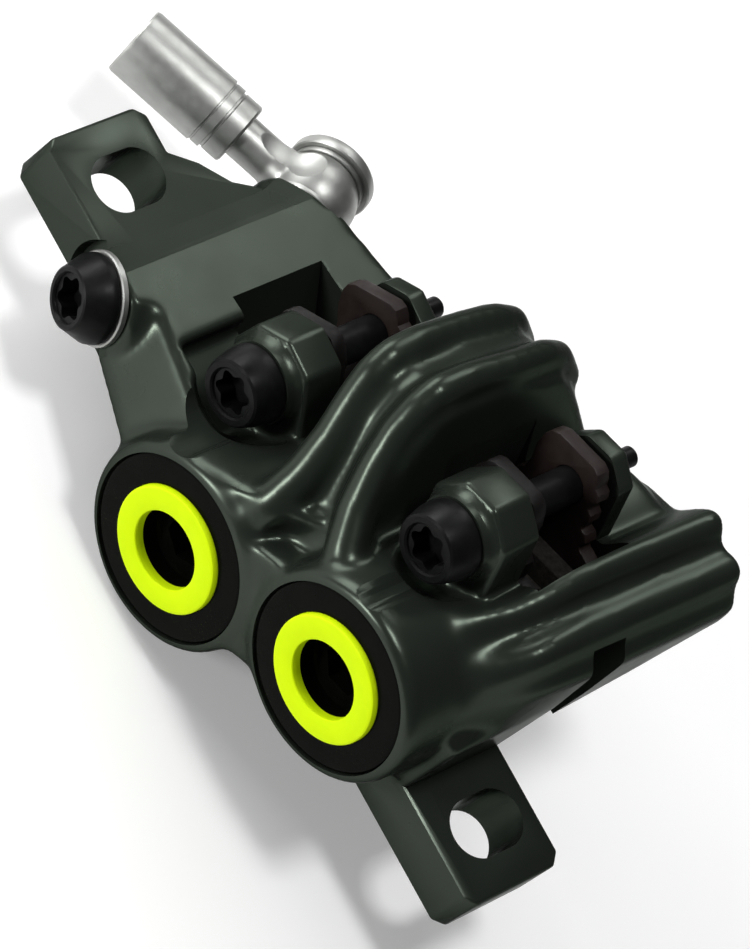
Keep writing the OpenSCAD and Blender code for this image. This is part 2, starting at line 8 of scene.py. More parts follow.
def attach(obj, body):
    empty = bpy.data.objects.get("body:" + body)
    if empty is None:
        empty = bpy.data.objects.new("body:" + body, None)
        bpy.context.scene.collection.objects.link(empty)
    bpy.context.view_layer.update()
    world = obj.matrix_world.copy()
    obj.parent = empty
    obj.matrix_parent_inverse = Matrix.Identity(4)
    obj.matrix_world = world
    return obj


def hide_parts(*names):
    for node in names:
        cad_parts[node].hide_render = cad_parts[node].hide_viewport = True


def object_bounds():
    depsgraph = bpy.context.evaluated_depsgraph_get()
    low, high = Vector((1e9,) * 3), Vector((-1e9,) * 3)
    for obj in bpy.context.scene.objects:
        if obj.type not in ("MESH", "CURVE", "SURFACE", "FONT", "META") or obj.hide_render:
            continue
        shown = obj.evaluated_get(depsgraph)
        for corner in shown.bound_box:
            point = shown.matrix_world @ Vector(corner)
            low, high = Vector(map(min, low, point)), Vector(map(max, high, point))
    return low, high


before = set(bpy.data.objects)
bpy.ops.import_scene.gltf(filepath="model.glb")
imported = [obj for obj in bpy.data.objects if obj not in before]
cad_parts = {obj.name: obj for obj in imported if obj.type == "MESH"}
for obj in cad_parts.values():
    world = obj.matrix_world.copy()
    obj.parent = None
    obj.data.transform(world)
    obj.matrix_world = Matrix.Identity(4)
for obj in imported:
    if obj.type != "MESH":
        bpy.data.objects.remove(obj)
cad_box = [[float(c) for c in corner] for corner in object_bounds()]

# Sizes in millimetres and degrees, in the frame's axes. Heights along a bore, a pad screw or a port
# are counted from the rotor plane or from the port's seat.

UPPER, LOWER = -1, 1
ENDS = {"upper": UPPER, "lower": LOWER}
SIDES = ("outer", "inner")

PITCH = 22.9  # between the two pistons of one side
TILT = 30.65  # of the line through the pistons
FAN = 9.1226  # by which each pad leans to face the hub
CORE_PLACE = (8.0, 9.0, 6.8)
ROTOR_DROP = 71.3  # from the middle of the core to the hub
ROTOR_ROOM = 81.5
ROTOR_HALF_GAP = 2.3

BODY_UPPER_END = -31
BODY_LOWER_END = 30.5
OUTER_FLANK, INNER_FLANK = -13.4, 24.2
NEAR_FLANK = -7.3  # of the body beside an ear
WAIST_LOW, WAIST_HIGH = -6.6, 7.2  # between the housings, in the core's z
WAIST_OUTER, WAIST_INNER = -22.9, 17.6
HOUSING_R = 11.3
BORE_R = 8.54
BORE_START = 4.25
INNER_BORE_END = 16.2
CAP_SEAT = 20.1
CAP_HOLE_R = 10.12
RECESS_R = 4.2  # of the recess in a cap, which is the inside of its ring
RECESS_FLOOR = 20.6
CAP_SOCKET_R = 2.89  # to the corners of its six sides

POCKET_HALF_WIDTH = 7.75
POCKET_HALF_LENGTH = 6.4
WINDOW_EXTRA = 2.6  # that the upper pad window is longer

LINING_FACE = 1.3
PLATE_FACE = 3.8
PLATE_BACK = 5.6
MAGNET_BACK = 8.1
MAGNET_R = 4.0
PISTON_R = 8.5
INNER_TAB_SHIFT = 1.65

SCREW_RISE = 15.6  # of a pad screw over the line of the pistons
SCREW_R = 2.0
SCREW_HOLE_R = 2.02
SCREW_HEAD_SEAT = 13.0
SCREW_SEAT_R = 4.4
LUG_FACES = {"outer": 11.5, "inner": 8.8}
LUG_RADII = {"outer": 5.2, "inner": 4.3}

EAR_THICKNESS = 6.3
EAR_END = 43.95
EAR_OUTER, EAR_INNER = NEAR_FLANK, 6.4  # its sides, across the rotor
EAR_CORNER = 1.2
SLOT_X = 37.1
SLOT_R = 3.2
SLOT_HALF_TRAVEL = 1.45

PORT_Z = 3.4
PORT_HOLE_R = 2.52
BLEED_SPOT_R = 5.9
HOSE_SPOT_R = 5.45
SOCKET_WIDTH = 4.7

EYE_MIDDLE = 3.4
EYE_BALL_R = 4.85
EYE_HOLE_R = 2.56
EYE_HALF_WIDTH = 2.77
EYE_DIMPLE = (-6.08, -7.98, 0.12)
EYE_DIMPLE_R = 6.0
NECK_R = 2.4
HOSE_PATH_R = 0.75

FINE = 0.4  # grain of the forged skin
EYE_FINE = 0.2

MM = 0.001
FLOOR_GLOW = 0.16
FLOOR_GAP = 0.0002  # metres below the lowest point of the part
WORLD_LEVEL = 0.12


def turn(degrees, axis):
    return Matrix.Rotation(math.radians(degrees), 4, axis)


def move(x, y, z):
    return Matrix.Translation((x, y, z))


CORE = Matrix.Translation(CORE_PLACE) @ turn(-TILT, "Y")
BLEED = move(-27.35, -8.15, PORT_Z) @ turn(-19.3, "Z") @ turn(90, "X")
HOSE = move(-27.7, 19.7, PORT_Z) @ turn(21, "Z") @ turn(-90, "X")
EYE = HOSE @ move(0, 0, EYE_MIDDLE) @ turn(-5.1, "Z")
SLEEVE = EYE @ turn(-90, "Y")

# Planes that flatten the body, as the frames of the blocks that cut it
BLEED_FLANK = move(-26.6, -8.9, 1.2) @ turn(-17.1, "Z") @ turn(-24, "X")
PANEL = move(-27, 0, 7.9) @ turn(-6.1, "Y")
PANEL_EDGE = move(-28.0, 0, 7.7) @ turn(-22, "Y")
ARM_UNDERSIDE = move(36.0, 11.3, 10.2) @ turn(37.0, "X")


def pad_frame(place, side):
    """Frame of one pad: x along the rotor, -y away from the rotor, z away from the hub."""
    m = CORE @ move(place * PITCH / 2, 0, 0) @ turn(place * FAN, "Y")
    return m @ turn(180, "Z") if side == "inner" else m


def outward_frame(place, side):
    """Frame of one pad with z away from the rotor, so that y points away from the hub."""
    return pad_frame(place, side) @ turn(90, "X")


def screw_axis(place):
    """Frame whose z runs out along one pad screw."""
    return pad_frame(place, "outer") @ move(0, 0, SCREW_RISE) @ turn(90, "X")


def set_camera():
    data = bpy.data.cameras.new("camera")
    data.sensor_fit = "VERTICAL"
    data.sensor_height = 36.0
    data.lens = 256.24
    data.clip_start = 0.05
    data.clip_end = 20.0
    cam = bpy.data.objects.new("camera", data)
    bpy.context.scene.collection.objects.link(cam)
    right = Vector((0.4843, 0.6914, 0.5361)).normalized()
    back = Vector((0.1056, -0.6545, 0.7487))
    back = (back - right * back.dot(right)).normalized()
    up = back.cross(right)
    place = Vector((0.0726, -0.4375, 0.5177))
    cam.matrix_world = Matrix(((right.x, up.x, back.x, place.x),
                               (right.y, up.y, back.y, place.y),
                               (right.z, up.z, back.z, place.z),
                               (0, 0, 0, 1)))
    bpy.context.scene.camera = cam


# Solids, added to a mesh in millimetres

def prism(bm, outline, low, high, matrix=None):
    """Outline drawn in x and y, pulled along z."""
    verts = [bm.verts.new((x, y, low)) for x, y in outline]
    face = bm.faces.new(verts)
    pulled = bmesh.ops.extrude_face_region(bm, geom=[face], use_keep_orig=True)["geom"]
    top = [v for v in pulled if isinstance(v, bmesh.types.BMVert)]
    bmesh.ops.translate(bm, verts=top, vec=(0, 0, high - low))
    if matrix is not None:
        bmesh.ops.transform(bm, matrix=matrix, verts=verts + top)


def along_y(bm, outline, low, high):
    """Outline drawn in x and z, pulled along y."""
    prism(bm, outline, -high, -low, turn(90, "X"))


def along_x(bm, outline, low, high, matrix):
    """Outline drawn in y and z, pulled along x."""
    prism(bm, outline, low, high, matrix @ (turn(90, "Z") @ turn(90, "X")))


def block_of(bm, low, high, matrix=None):
    size = [h - l for l, h in zip(low, high)]
    middle = [(h + l) / 2 for l, h in zip(low, high)]
    m = Matrix.Translation(middle) @ Matrix.Diagonal((*size, 1))
    bmesh.ops.create_cube(bm, size=1, matrix=m if matrix is None else matrix @ m)


def drum(bm, r1, r2, low, high, matrix, segments):
    m = matrix @ move(0, 0, (low + high) / 2)
    bmesh.ops.create_cone(bm, cap_ends=True, segments=segments, radius1=r1, radius2=r2,
                          depth=high - low, matrix=m)


def ball(bm, radius, matrix, around, upright):
    bmesh.ops.create_uvsphere(bm, u_segments=around, v_segments=upright, radius=radius,
                              matrix=matrix)


def rib(bm, path, matrix):
    """Chain of tapered rods with round ends, through points that also give the radius."""
    for start, end in zip(path, path[1:]):
        a, b = matrix @ Vector(start[:3]), matrix @ Vector(end[:3])
        along = (b - a).to_track_quat("Z", "Y").to_matrix().to_4x4()
        bmesh.ops.create_cone(bm, cap_ends=True, segments=24, radius1=start[3], radius2=end[3],
                              depth=(b - a).length, matrix=Matrix.Translation((a + b) / 2) @ along)
        ball(bm, start[3], Matrix.Translation(a), 20, 12)
        ball(bm, end[3], Matrix.Translation(b), 20, 12)


def trim(bm, a, b, side):
    """Cuts away what lies beyond the upright plane through two points, and closes the cut."""
    outward = (side * (a[1] - b[1]), side * (b[0] - a[0]), 0)
    bmesh.ops.bisect_plane(bm, geom=bm.verts[:] + bm.edges[:] + bm.faces[:], dist=1e-5,
                           plane_co=(a[0], a[1], 0), plane_no=outward, clear_outer=True)
    open_edges = [e for e in bm.edges if e.is_boundary]
    bmesh.ops.holes_fill(bm, edges=open_edges, sides=0)


def lathe(bm, profile, matrix, steps=96, ring=False):
    """Turns a profile of radius and height, in a mesh that is empty before.

    The profile starts and ends on the axis, or it is a closed loop for a ring.
    """
    verts = [bm.verts.new((r, 0, z)) for r, z in profile]
    after = verts[1:] + verts[:1] if ring else verts[1:]
    edges = [bm.edges.new(pair) for pair in zip(verts, after)]
    bmesh.ops.spin(bm, geom=verts + edges, cent=(0, 0, 0), axis=(0, 0, 1), dvec=(0, 0, 0),
                   angle=math.tau, steps=steps, use_merge=True, use_duplicate=False)
    bmesh.ops.remove_doubles(bm, verts=bm.verts, dist=1e-5)
    bmesh.ops.transform(bm, matrix=matrix, verts=bm.verts)


def turned(bm, profile, matrix, steps=96):
    """Adds a solid turned in its own mesh, so that nothing else is merged with it."""
    own = bmesh.new()
    lathe(own, profile, matrix, steps)
    mesh = bpy.data.meshes.new("turned")
    own.to_mesh(mesh)
    own.free()
    bm.from_mesh(mesh)
    bpy.data.meshes.remove(mesh)


def loft(bm, stations, matrix):
    """Solid pulled along y through outlines in x and z with equal counts of corners."""
    y, outline = stations[0]
    ends = [bm.verts.new((u, y, v)) for u, v in outline]
    face = bm.faces.new(ends)
    made = list(ends)
    for count, (y, outline) in enumerate(stations[1:]):
        grown = bmesh.ops.extrude_face_region(bm, geom=[face], use_keep_orig=count == 0)["geom"]
        order = {tuple(v.co): k for k, v in enumerate(ends)}
        ends = sorted((v for v in grown if isinstance(v, bmesh.types.BMVert)),
                      key=lambda v: order[tuple(v.co)])
        face = next(f for f in grown if isinstance(f, bmesh.types.BMFace))
        for v, (u, w) in zip(ends, outline):
            v.co = (u, y, w)
        made += ends
    bmesh.ops.transform(bm, matrix=matrix, verts=made)


def eased_rows(stations, steps=4):
    """More outlines between the given ones, on a smooth curve through each corner."""
    rows = []
    last = len(stations) - 1
    for k in range(last):
        around = [stations[max(k - 1, 0)], stations[k], stations[k + 1],
                  stations[min(k + 2, last)]]
        for j in range(steps):
            t = j / steps
            weights = (-0.5 * t + t * t - 0.5 * t ** 3, 1 - 2.5 * t * t + 1.5 * t ** 3,
                       0.5 * t + 2 * t * t - 1.5 * t ** 3, -0.5 * t * t + 0.5 * t ** 3)
            y = (1 - t) * around[1][0] + t * around[2][0]
            outline = [tuple(sum(w * row[1][corner][axis] for w, row in zip(weights, around))
                             for axis in (0, 1))
                       for corner in range(len(around[1][1]))]
            rows.append((y, outline))
    return rows + [stations[last]]


def soften(bm, width, segments, angle):
    """Points the faces outwards and rounds the edges that are sharper than an angle."""
    bmesh.ops.recalc_face_normals(bm, faces=bm.faces)
    limit = math.radians(angle)
    chosen = [e for e in bm.edges if len(e.link_faces) == 2 and e.calc_face_angle(0) > limit]
    bmesh.ops.bevel(bm, geom=chosen, offset=width, offset_type="OFFSET", segments=segments,
                    profile=0.5, affect="EDGES", clamp_overlap=True, material=-1)


# Objects

def to_object(name, bm, outward=True):
    if outward:
        bmesh.ops.recalc_face_normals(bm, faces=bm.faces)
    mesh = bpy.data.meshes.new(name)
    bm.to_mesh(mesh)
    bm.free()
    obj = bpy.data.objects.new(name, mesh)
    bpy.context.scene.collection.objects.link(obj)
    return obj


def made_by(name, make, *args, **kwargs):
    """New object whose mesh one of the functions above fills."""
    bm = bmesh.new()
    make(bm, *args, **kwargs)
    return to_object(name, bm)


def discard(obj):
    mesh = obj.data
    bpy.data.objects.remove(obj)
    bpy.data.meshes.remove(mesh)


def apply_modifiers(obj):
    graph = bpy.context.evaluated_depsgraph_get()
    graph.update()
    mesh = bpy.data.meshes.new_from_object(obj.evaluated_get(graph))
    obj.modifiers.clear()
    old = obj.data
    obj.data = mesh
    mesh.name = obj.name
    bpy.data.meshes.remove(old)


def melt(obj, voxel, passes):
    """Grows the parts of a mesh into one skin and runs its corners into fillets."""
    mod = obj.modifiers.new("skin", "REMESH")
    mod.mode = "VOXEL"
    mod.voxel_size = voxel
    mod.adaptivity = 0.0
    apply_modifiers(obj)
    bm = bmesh.new()
    bm.from_mesh(obj.data)
    for _ in range(passes):
        bmesh.ops.smooth_vert(bm, verts=bm.verts, factor=0.5, use_axis_x=True,
                              use_axis_y=True, use_axis_z=True)
    bm.to_mesh(obj.data)
    bm.free()


def combine(obj, other, operation):
    mod = obj.modifiers.new("combine", "BOOLEAN")
    mod.operation = operation
    mod.solver = "MANIFOLD"
    mod.object = other
    apply_modifiers(obj)
    discard(other)


def join(obj, make, *args, **kwargs):
    combine(obj, made_by("addition", make, *args, **kwargs), "UNION")


def carve(obj, make, *args, **kwargs):
    combine(obj, made_by("cutter", make, *args, **kwargs), "DIFFERENCE")


def finish_piece(obj, body, node, material, crease=28):
    """Brings a piece to metres and gives it smooth faces, crisp edges, a finish and a body."""
    bm = bmesh.new()
    bm.from_mesh(obj.data)
    bmesh.ops.scale(bm, vec=(MM, MM, MM), verts=bm.verts)
    limit = math.radians(crease)
    for f in bm.faces:
        f.smooth = True
        f.material_index = 0
    for e in bm.edges:
        e.smooth = not (len(e.link_faces) == 2 and e.calc_face_angle(0) > limit)
    bm.to_mesh(obj.data)
    bm.free()
    obj.data.materials.clear()
    obj.data.materials.append(material)
    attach(obj, body)
    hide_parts(node)


# Finishes

class Finish:
    """One procedural finish, read in object coordinates."""

    def __init__(self, name):
        self.mat = bpy.data.materials.new(name)
        self.mat.use_nodes = True
        self.tree = self.mat.node_tree
        self.shader = self.tree.nodes["Principled BSDF"]
        self.coords = self.node("ShaderNodeTexCoord").outputs["Object"]

    def node(self, kind, **values):
        n = self.tree.nodes.new(kind)
        for key, value in values.items():
            setattr(n, key, value)
        return n

    def link(self, a, b):
        self.tree.links.new(a, b)

    def noise(self, scale, detail, rough=0.55):
        n = self.node("ShaderNodeTexNoise")
        n.inputs["Scale"].default_value = scale
        n.inputs["Detail"].default_value = detail
        n.inputs["Roughness"].default_value = rough
        self.link(self.coords, n.inputs["Vector"])
        return n.outputs["Fac"]

    def ramp(self, source, places, colours):
        n = self.node("ShaderNodeValToRGB")
        for element, place, colour in zip(n.color_ramp.elements, places, colours):
            element.position, element.color = place, (*colour, 1)
        self.link(source, n.inputs["Fac"])
        return n.outputs["Color"]

    def span(self, source, low, high, low_in=0.3, high_in=0.7):
        n = self.node("ShaderNodeMapRange")
        n.inputs["From Min"].default_value = low_in
        n.inputs["From Max"].default_value = high_in
        n.inputs["To Min"].default_value = low
        n.inputs["To Max"].default_value = high
        self.link(source, n.inputs["Value"])
        return n.outputs["Result"]

    def bump(self, source, strength, distance):
        n = self.node("ShaderNodeBump")
        n.inputs["Strength"].default_value = strength
        n.inputs["Distance"].default_value = distance
        self.link(source, n.inputs["Height"])
        self.link(n.outputs["Normal"], self.shader.inputs["Normal"])

    def set(self, values):
        for key, value in values.items():
            self.shader.inputs[key].default_value = value


def varied(name, cloud, colours, grain, rough, values=None, bump=None, places=(0.3, 0.7)):
    """Finish whose colour and roughness drift between two values, over a fine bump.

    cloud and grain are the scale and detail of a noise, and bump ends with strength and depth.
    """
    f = Finish(name)
    f.link(f.ramp(f.noise(*cloud), places, colours), f.shader.inputs["Base Color"])
    f.link(f.span(f.noise(*grain), *rough), f.shader.inputs["Roughness"])
    f.set(values or {})
    if bump:
        f.bump(f.noise(*bump[:2]), *bump[2:])
    return f.mat


PLATE_COLOURS = ((0.0085, 0.0052, 0.0043), (0.0155, 0.0092, 0.0078))
# Painted shade: the outer plates are the same brown plates as the inner ones, darkened to a fifth
# of their colour because they lie in shadow behind the outer lugs
PAINTED_SHADE_SHARE = 0.2  # share of its colour that a plate behind the outer lugs keeps

body_finish = varied(
    "dark_body_finish", (45, 4.0, 0.6), ((0.037, 0.045, 0.036), (0.046, 0.055, 0.045)),
    (160, 3.0), (0.27, 0.34),
    {"Metallic": 0.75, "Specular IOR Level": 0.1, "Specular Tint": (0.25, 0.27, 0.25, 1)},
    bump=(1500, 2.0, 0.03, 0.00002))
black_finish = varied(
    "satin_black_finish", (400, 3.0, 0.6), ((0.0025, 0.0025, 0.0027), (0.0055, 0.0055, 0.0058)),
    (900, 2.0), (0.34, 0.46), {"Specular IOR Level": 0.1}, bump=(2500, 2.0, 0.06, 0.00003))
gloss_finish = varied(
    "gloss_black_finish", (300, 3.0, 0.6), ((0.0016, 0.0018, 0.0013), (0.0030, 0.0033, 0.0025)),
    (700, 2.0), (0.16, 0.24), {"Specular IOR Level": 0.03}, bump=(2500, 2.0, 0.03, 0.00002))
# Painted glow: a faint emission makes the yellow ring light up though it is no lamp; the base
# colour is the ring's own yellow
yellow_glow_finish = varied(
    "yellow_painted_glow_finish", (300, 3.0, 0.6), ((0.53, 0.74, 0.003), (0.58, 0.78, 0.004)),
    (900, 2.0), (0.4, 0.5),
    {"Specular IOR Level": 0.05, "Emission Color": (0.70, 0.96, 0.002, 1),
     "Emission Strength": 0.08},
    bump=(3000, 2.0, 0.05, 0.00002))
silver_finish = varied(
    "satin_silver_finish", (250, 4.0, 0.6), ((0.33, 0.335, 0.32), (0.41, 0.415, 0.40)),
    (700, 3.0), (0.40, 0.48), {"Metallic": 1.0}, bump=(2200, 2.0, 0.05, 0.00003))
# The second plate finish is the brown finish darkened as painted shade, for the outer plates
plate_finish, painted_shade_finish = (
    varied(name, (350, 4.0, 0.6), [tuple(share * c for c in rgb) for rgb in PLATE_COLOURS],
           (900, 3.0), (0.45, 0.6), {"Specular IOR Level": 0.2}, bump=(2000, 2.0, 0.1, 0.00004))
    for name, share in (("brown_plate_finish", 1.0), ("painted_shade_plate_finish", PAINTED_SHADE_SHARE)))
lining_finish = varied(
    "dark_lining_finish", (1600, 4.0, 0.7), ((0.008, 0.007, 0.006), (0.024, 0.021, 0.018)),
    (900, 3.0), (0.75, 0.95), {"Specular IOR Level": 0.15}, bump=(2200, 3.0, 0.4, 0.0001),
    places=(0.35, 0.65))
rubber_finish = varied(
    "black_rubber_finish", (500, 3.0, 0.6), ((0.012, 0.012, 0.012), (0.022, 0.022, 0.022)),
    (900, 3.0), (0.55, 0.7))
piston_finish = varied(
    "dark_piston_finish", (500, 4.0, 0.6), ((0.030, 0.026, 0.022), (0.046, 0.040, 0.034)),
    (900, 3.0), (0.5, 0.62))

# Caliper body: traced outlines of the arm in the core's x and z, at heights across the rotor

ARM_STATIONS = (
    (-20.0, ((12, 1), (12.2, 7.5), (14.5, 8.3), (15.8, 8.2), (17, 7.6), (17.8, 7), (18.6, 6.3),
             (19.2, 5.6), (19.8, 4.8), (20.3, 3.9), (20.7, 3), (21, 2), (21.2, 0.8),
             (21.3, -0.4), (20.3, -4.2), (17.2, -10))),
    (-16.4, ((12, 1), (12.5, 9), (15.5, 9.8), (17, 9.4), (18.2, 8.7), (19.1, 7.9), (19.9, 7),
             (20.5, 6.2), (21.1, 5.3), (21.6, 4.3), (22, 3.3), (22.3, 2.3), (22.5, 1),
             (22.6, -0.3), (21.6, -4.5), (18.4, -11.4))),
    (-13.0, ((12, 1), (12.7, 9.2), (16.3, 9.3), (18.2, 9.7), (19.3, 9.9), (20.3, 9.4),
             (20.7, 8.3), (21, 7), (22.5, 6.5), (23.6, 6.2), (24.3, 5.3), (24.4, 4),
             (24.1, 2.8), (24, 1.2), (22.7, -4.1), (19.1, -11.9))),
    (-9.5, ((12, 1), (13, 9.5), (17, 9), (19, 9.9), (20.1, 10.4), (21.4, 10.1), (21.9, 9),
            (22, 7.8), (23.7, 7.8), (24.9, 8.2), (25.9, 7.5), (26.2, 6.1), (25.9, 4.8),
            (26.3, 2.6), (23.7, -3.8), (19.1, -11.9))),
    (-5.0, ((12, 1), (13, 9.5), (17.4, 9), (19.6, 10.8), (20.9, 11.6), (22.3, 11.2), (22.8, 10),
            (22.7, 8.6), (24, 8.4), (25.2, 8.8), (26.3, 8), (26.7, 6.7), (26.5, 5.5),
            (27.3, 3.2), (24.05, -3.56), (19.1, -11.9))),
    (-0.5, ((12, 1), (13, 9.5), (17.5, 9), (19.8, 11.2), (21.2, 12.3), (22.6, 11.9),
            (23.1, 10.6), (22.9, 9.1), (24.1, 8.6), (25.2, 8.8), (26.4, 8), (26.8, 6.7),
            (26.6, 5.4), (27.5, 3), (24.05, -3.56), (19.1, -11.9))),
    (18.9, ((12, 1), (13, 9.5), (17.5, 9), (20.2, 11.2), (21.9, 12.3), (23.3, 12), (23.9, 10.5),
            (23.8, 9.2), (24.8, 8.9), (26, 9), (27.1, 8.4), (27.5, 7.1), (27.2, 5.5),
            (27.9, 3.2), (24.05, -3.56), (19.1, -11.9))),
)

# Side of the bridge, in the core's y and z
BRIDGE_SIDE = [(-19.0, 5), (-18.8, 9.6), (-15.9, 15.6), (-12.6, 22.2), (-10.0, 25.2),
               (-8.0, 26.2), (0, 26.0), (9.0, 24.2), (11.4, 22.2), (13.4, 19.2), (16.0, 14.6),
               (18.4, 10.2), (18.4, 6)]
BRIDGE_LAYERS = ((-5.0, 6.4, 2.6), (-3.4, 4.9, 1.2))  # from x, to x, how far below that side
BRIDGE_FOOT = 6  # below it, the side isn't lowered

# Ribs of the bridge and their flared feet: core's x, y, z and the radius
BRIDGE_RIBS = (
    ((-2.9, 13.4, 18.2, 1.6), (-2.9, 10.9, 21.8, 1.7), (-2.9, 7.7, 23.3, 1.7),
     (-2.7, 3.1, 24.3, 1.7), (-2.4, -1.8, 25.1, 1.7), (-2.3, -4.9, 25.4, 1.8),
     (-2.2, -8.6, 25.1, 1.8), (-2.3, -10.4, 23.7, 1.9), (-2.3, -12.2, 21.3, 1.9),
     (-2.0, -14.7, 17.5, 2.0), (-2.2, -17.2, 13.7, 2.2), (-3.2, -19.6, 10.2, 2.4),
     (-4.6, -21.0, 7.6, 2.2)),
    ((3.4, 13.4, 18.4, 1.6), (3.5, 10.9, 21.8, 1.7), (3.9, 7.8, 23.3, 1.7),
     (4.4, 2.2, 24.4, 1.7), (4.4, -4, 25.2, 1.8), (4.3, -8.4, 25.1, 1.8),
     (4.0, -10.4, 23.6, 1.8), (3.7, -12.4, 21.1, 1.8), (4.0, -14.6, 17.6, 1.9),
     (4.8, -16.9, 13.9, 2.1), (6.4, -19.0, 10.6, 2.3), (8.4, -20.6, 7.8, 2.2)),
)

OUTER_HOUSING = [(0, 0), (HOUSING_R, 0), (HOUSING_R, 22.5), (11.15, 23.1), (10.8, 23.5),
                 (10.4, 23.6), (0, 23.6)]
INNER_HOUSING = [(0, 0), (HOUSING_R, 0), (HOUSING_R, 15.8), (11.0, 16.6), (9.0, 18.2),
                 (8.2, 18.55), (0, 18.6)]
SCREW_BOWL = [(0, 8.6), (6.0, 8.6), (6.6, 9.4), (6.7, 12.0), (6.2, 14.6), (5.0, 17.0),
              (3.0, 18.6), (0, 19.2)]


def top_of_housing(place):
    """Point in x and z over the middle of one bore."""
    p = CORE @ Vector((place * PITCH / 2, 0, HOUSING_R))
    return (p.x, p.z)


def mount_block(bm):
    """Block between the ears, with its raised panel and slanted port flanks."""
    a, b = top_of_housing(UPPER), top_of_housing(LOWER)
    outline = [(BODY_UPPER_END, 0), (BODY_UPPER_END, 7.5), (-27, 7.9), (a[0] - 3.5, 9.6), a, b,
               (BODY_LOWER_END, 15.8), (BODY_LOWER_END, 0)]
    along_y(bm, outline, OUTER_FLANK, INNER_FLANK)
    for p, q in (((BODY_UPPER_END, NEAR_FLANK), (-26.6, -8.9)),
                 ((-26.6, -8.9), (-12, OUTER_FLANK))):
        trim(bm, p, q, -1)
    for p, q in (((-25.3, 21.6), (-17.5, 22.8)), ((-29.6, 19), (-25.3, 21.6)),
                 ((BODY_UPPER_END, 16), (-29.6, 19))):
        trim(bm, p, q, 1)


def near_corner(bm):
    """Space below the lower housing, beside the lower ear."""
    prism(bm, [(-2, -16), (-2, OUTER_FLANK), (8, NEAR_FLANK), (31, NEAR_FLANK), (31, -16)],
          -1, 30)


def barrels(bm):
    """Housings of the four pistons, with their rounded rims."""
    for place in (UPPER, LOWER):
        middle = CORE @ move(place * PITCH / 2, 0, 0)
        turned(bm, OUTER_HOUSING, middle @ turn(90, "X"))
        turned(bm, INNER_HOUSING, middle @ turn(-90, "X"))


def bridge(bm):
    """Bridge over the middle, whose two ribs run down into flared feet."""
    for low, high, sink in BRIDGE_LAYERS:
        side = [(y, v - sink if v > BRIDGE_FOOT else v) for y, v in BRIDGE_SIDE]
        along_x(bm, side, low, high, CORE)
    for path in BRIDGE_RIBS:
        rib(bm, path, CORE)


def core_masses(bm):
    loft(bm, eased_rows(ARM_STATIONS), CORE)
    barrels(bm)
    for low, high in ((WAIST_OUTER, 0), (0, WAIST_INNER)):
        block_of(bm, (-PITCH / 2, low, WAIST_LOW), (PITCH / 2, high, WAIST_HIGH), CORE)
    bridge(bm)
    turned(bm, [(0, -6), (5.4, -6), (5.4, 0), (0, 0)], BLEED)
    turned(bm, [(0, -8), (5.5, -8), (5.5, 0), (0, 0)], HOSE)


def with_masses(obj):
    """The core's masses added to an object's mesh, as one new object."""
    bm = bmesh.new()
    bm.from_mesh(obj.data)
    discard(obj)
    core_masses(bm)
    return to_object("caliper_skin", bm)


def lug(place, side):
    """Eight-sided lug that carries one end of a pad screw, with softened corners."""
    face, r = LUG_FACES[side], LUG_RADII[side]
    wide = r / math.cos(math.pi / 8)
    angles = [math.radians(22.5 + 45 * k) for k in range(4)]
    top = [(wide * math.cos(a), SCREW_RISE + wide * math.sin(a)) for a in angles]
    bm = bmesh.new()
    prism(bm, [(-r, 6), (r, 6)] + top, 6.0, face, outward_frame(place, side))
    soften(bm, width=0.55, segments=3, angle=20)
    obj = to_object("lug", bm)
    if side == "outer":
        join(obj, lathe, [(0, face - 2), (4.9, face - 2), (4.9, face - 0.02), (4.72, face + 0.1),
                          (4.56, face + 0.4), (4.46, face + 0.8),
                          (SCREW_SEAT_R, SCREW_HEAD_SEAT), (0, SCREW_HEAD_SEAT)],
             screw_axis(place))
    return obj


def forged_shape():
    """Soft skin of the forging, before its flats, ears and openings."""
    obj = made_by("forged_block", mount_block)
    carve(obj, block_of, (0, -12, -6), (16, 0, 20), BLEED_FLANK)
    carve(obj, near_corner)
    obj = with_masses(obj)
    melt(obj, FINE, passes=8)
    carve(obj, block_of, (-8, -20, 0), (10.4, 40, 12), PANEL)
    carve(obj, block_of, (-19.0, -6.6, 6.4), (-9, 3.2, 16))
    for place in (UPPER, LOWER):
        carve(obj, lathe, SCREW_BOWL, screw_axis(place), 64)
        combine(obj, lug(place, "outer"), "UNION")
    melt(obj, FINE, passes=4)
    return obj


def ear(end):
    """Flat slotted ear, cut square with its outer corners broken."""
    c = EAR_CORNER
    root = 23.0 if end == UPPER else 22.5
    outline = [(root, EAR_OUTER), (EAR_END - c, EAR_OUTER), (EAR_END, EAR_OUTER + c),
               (EAR_END, EAR_INNER - c), (EAR_END - c, EAR_INNER)]
    if end == UPPER:
        outline += [(38.4, EAR_INNER), (36.2, 9.4), (33.1, 12.1), (31, 16), (27, 16)]
    outline.append((root, EAR_INNER))
    bm = bmesh.new()
    prism(bm, [(end * x, y) for x, y in outline], 0, EAR_THICKNESS)
    soften(bm, width=0.35, segments=2, angle=40)
    return to_object("ear", bm)


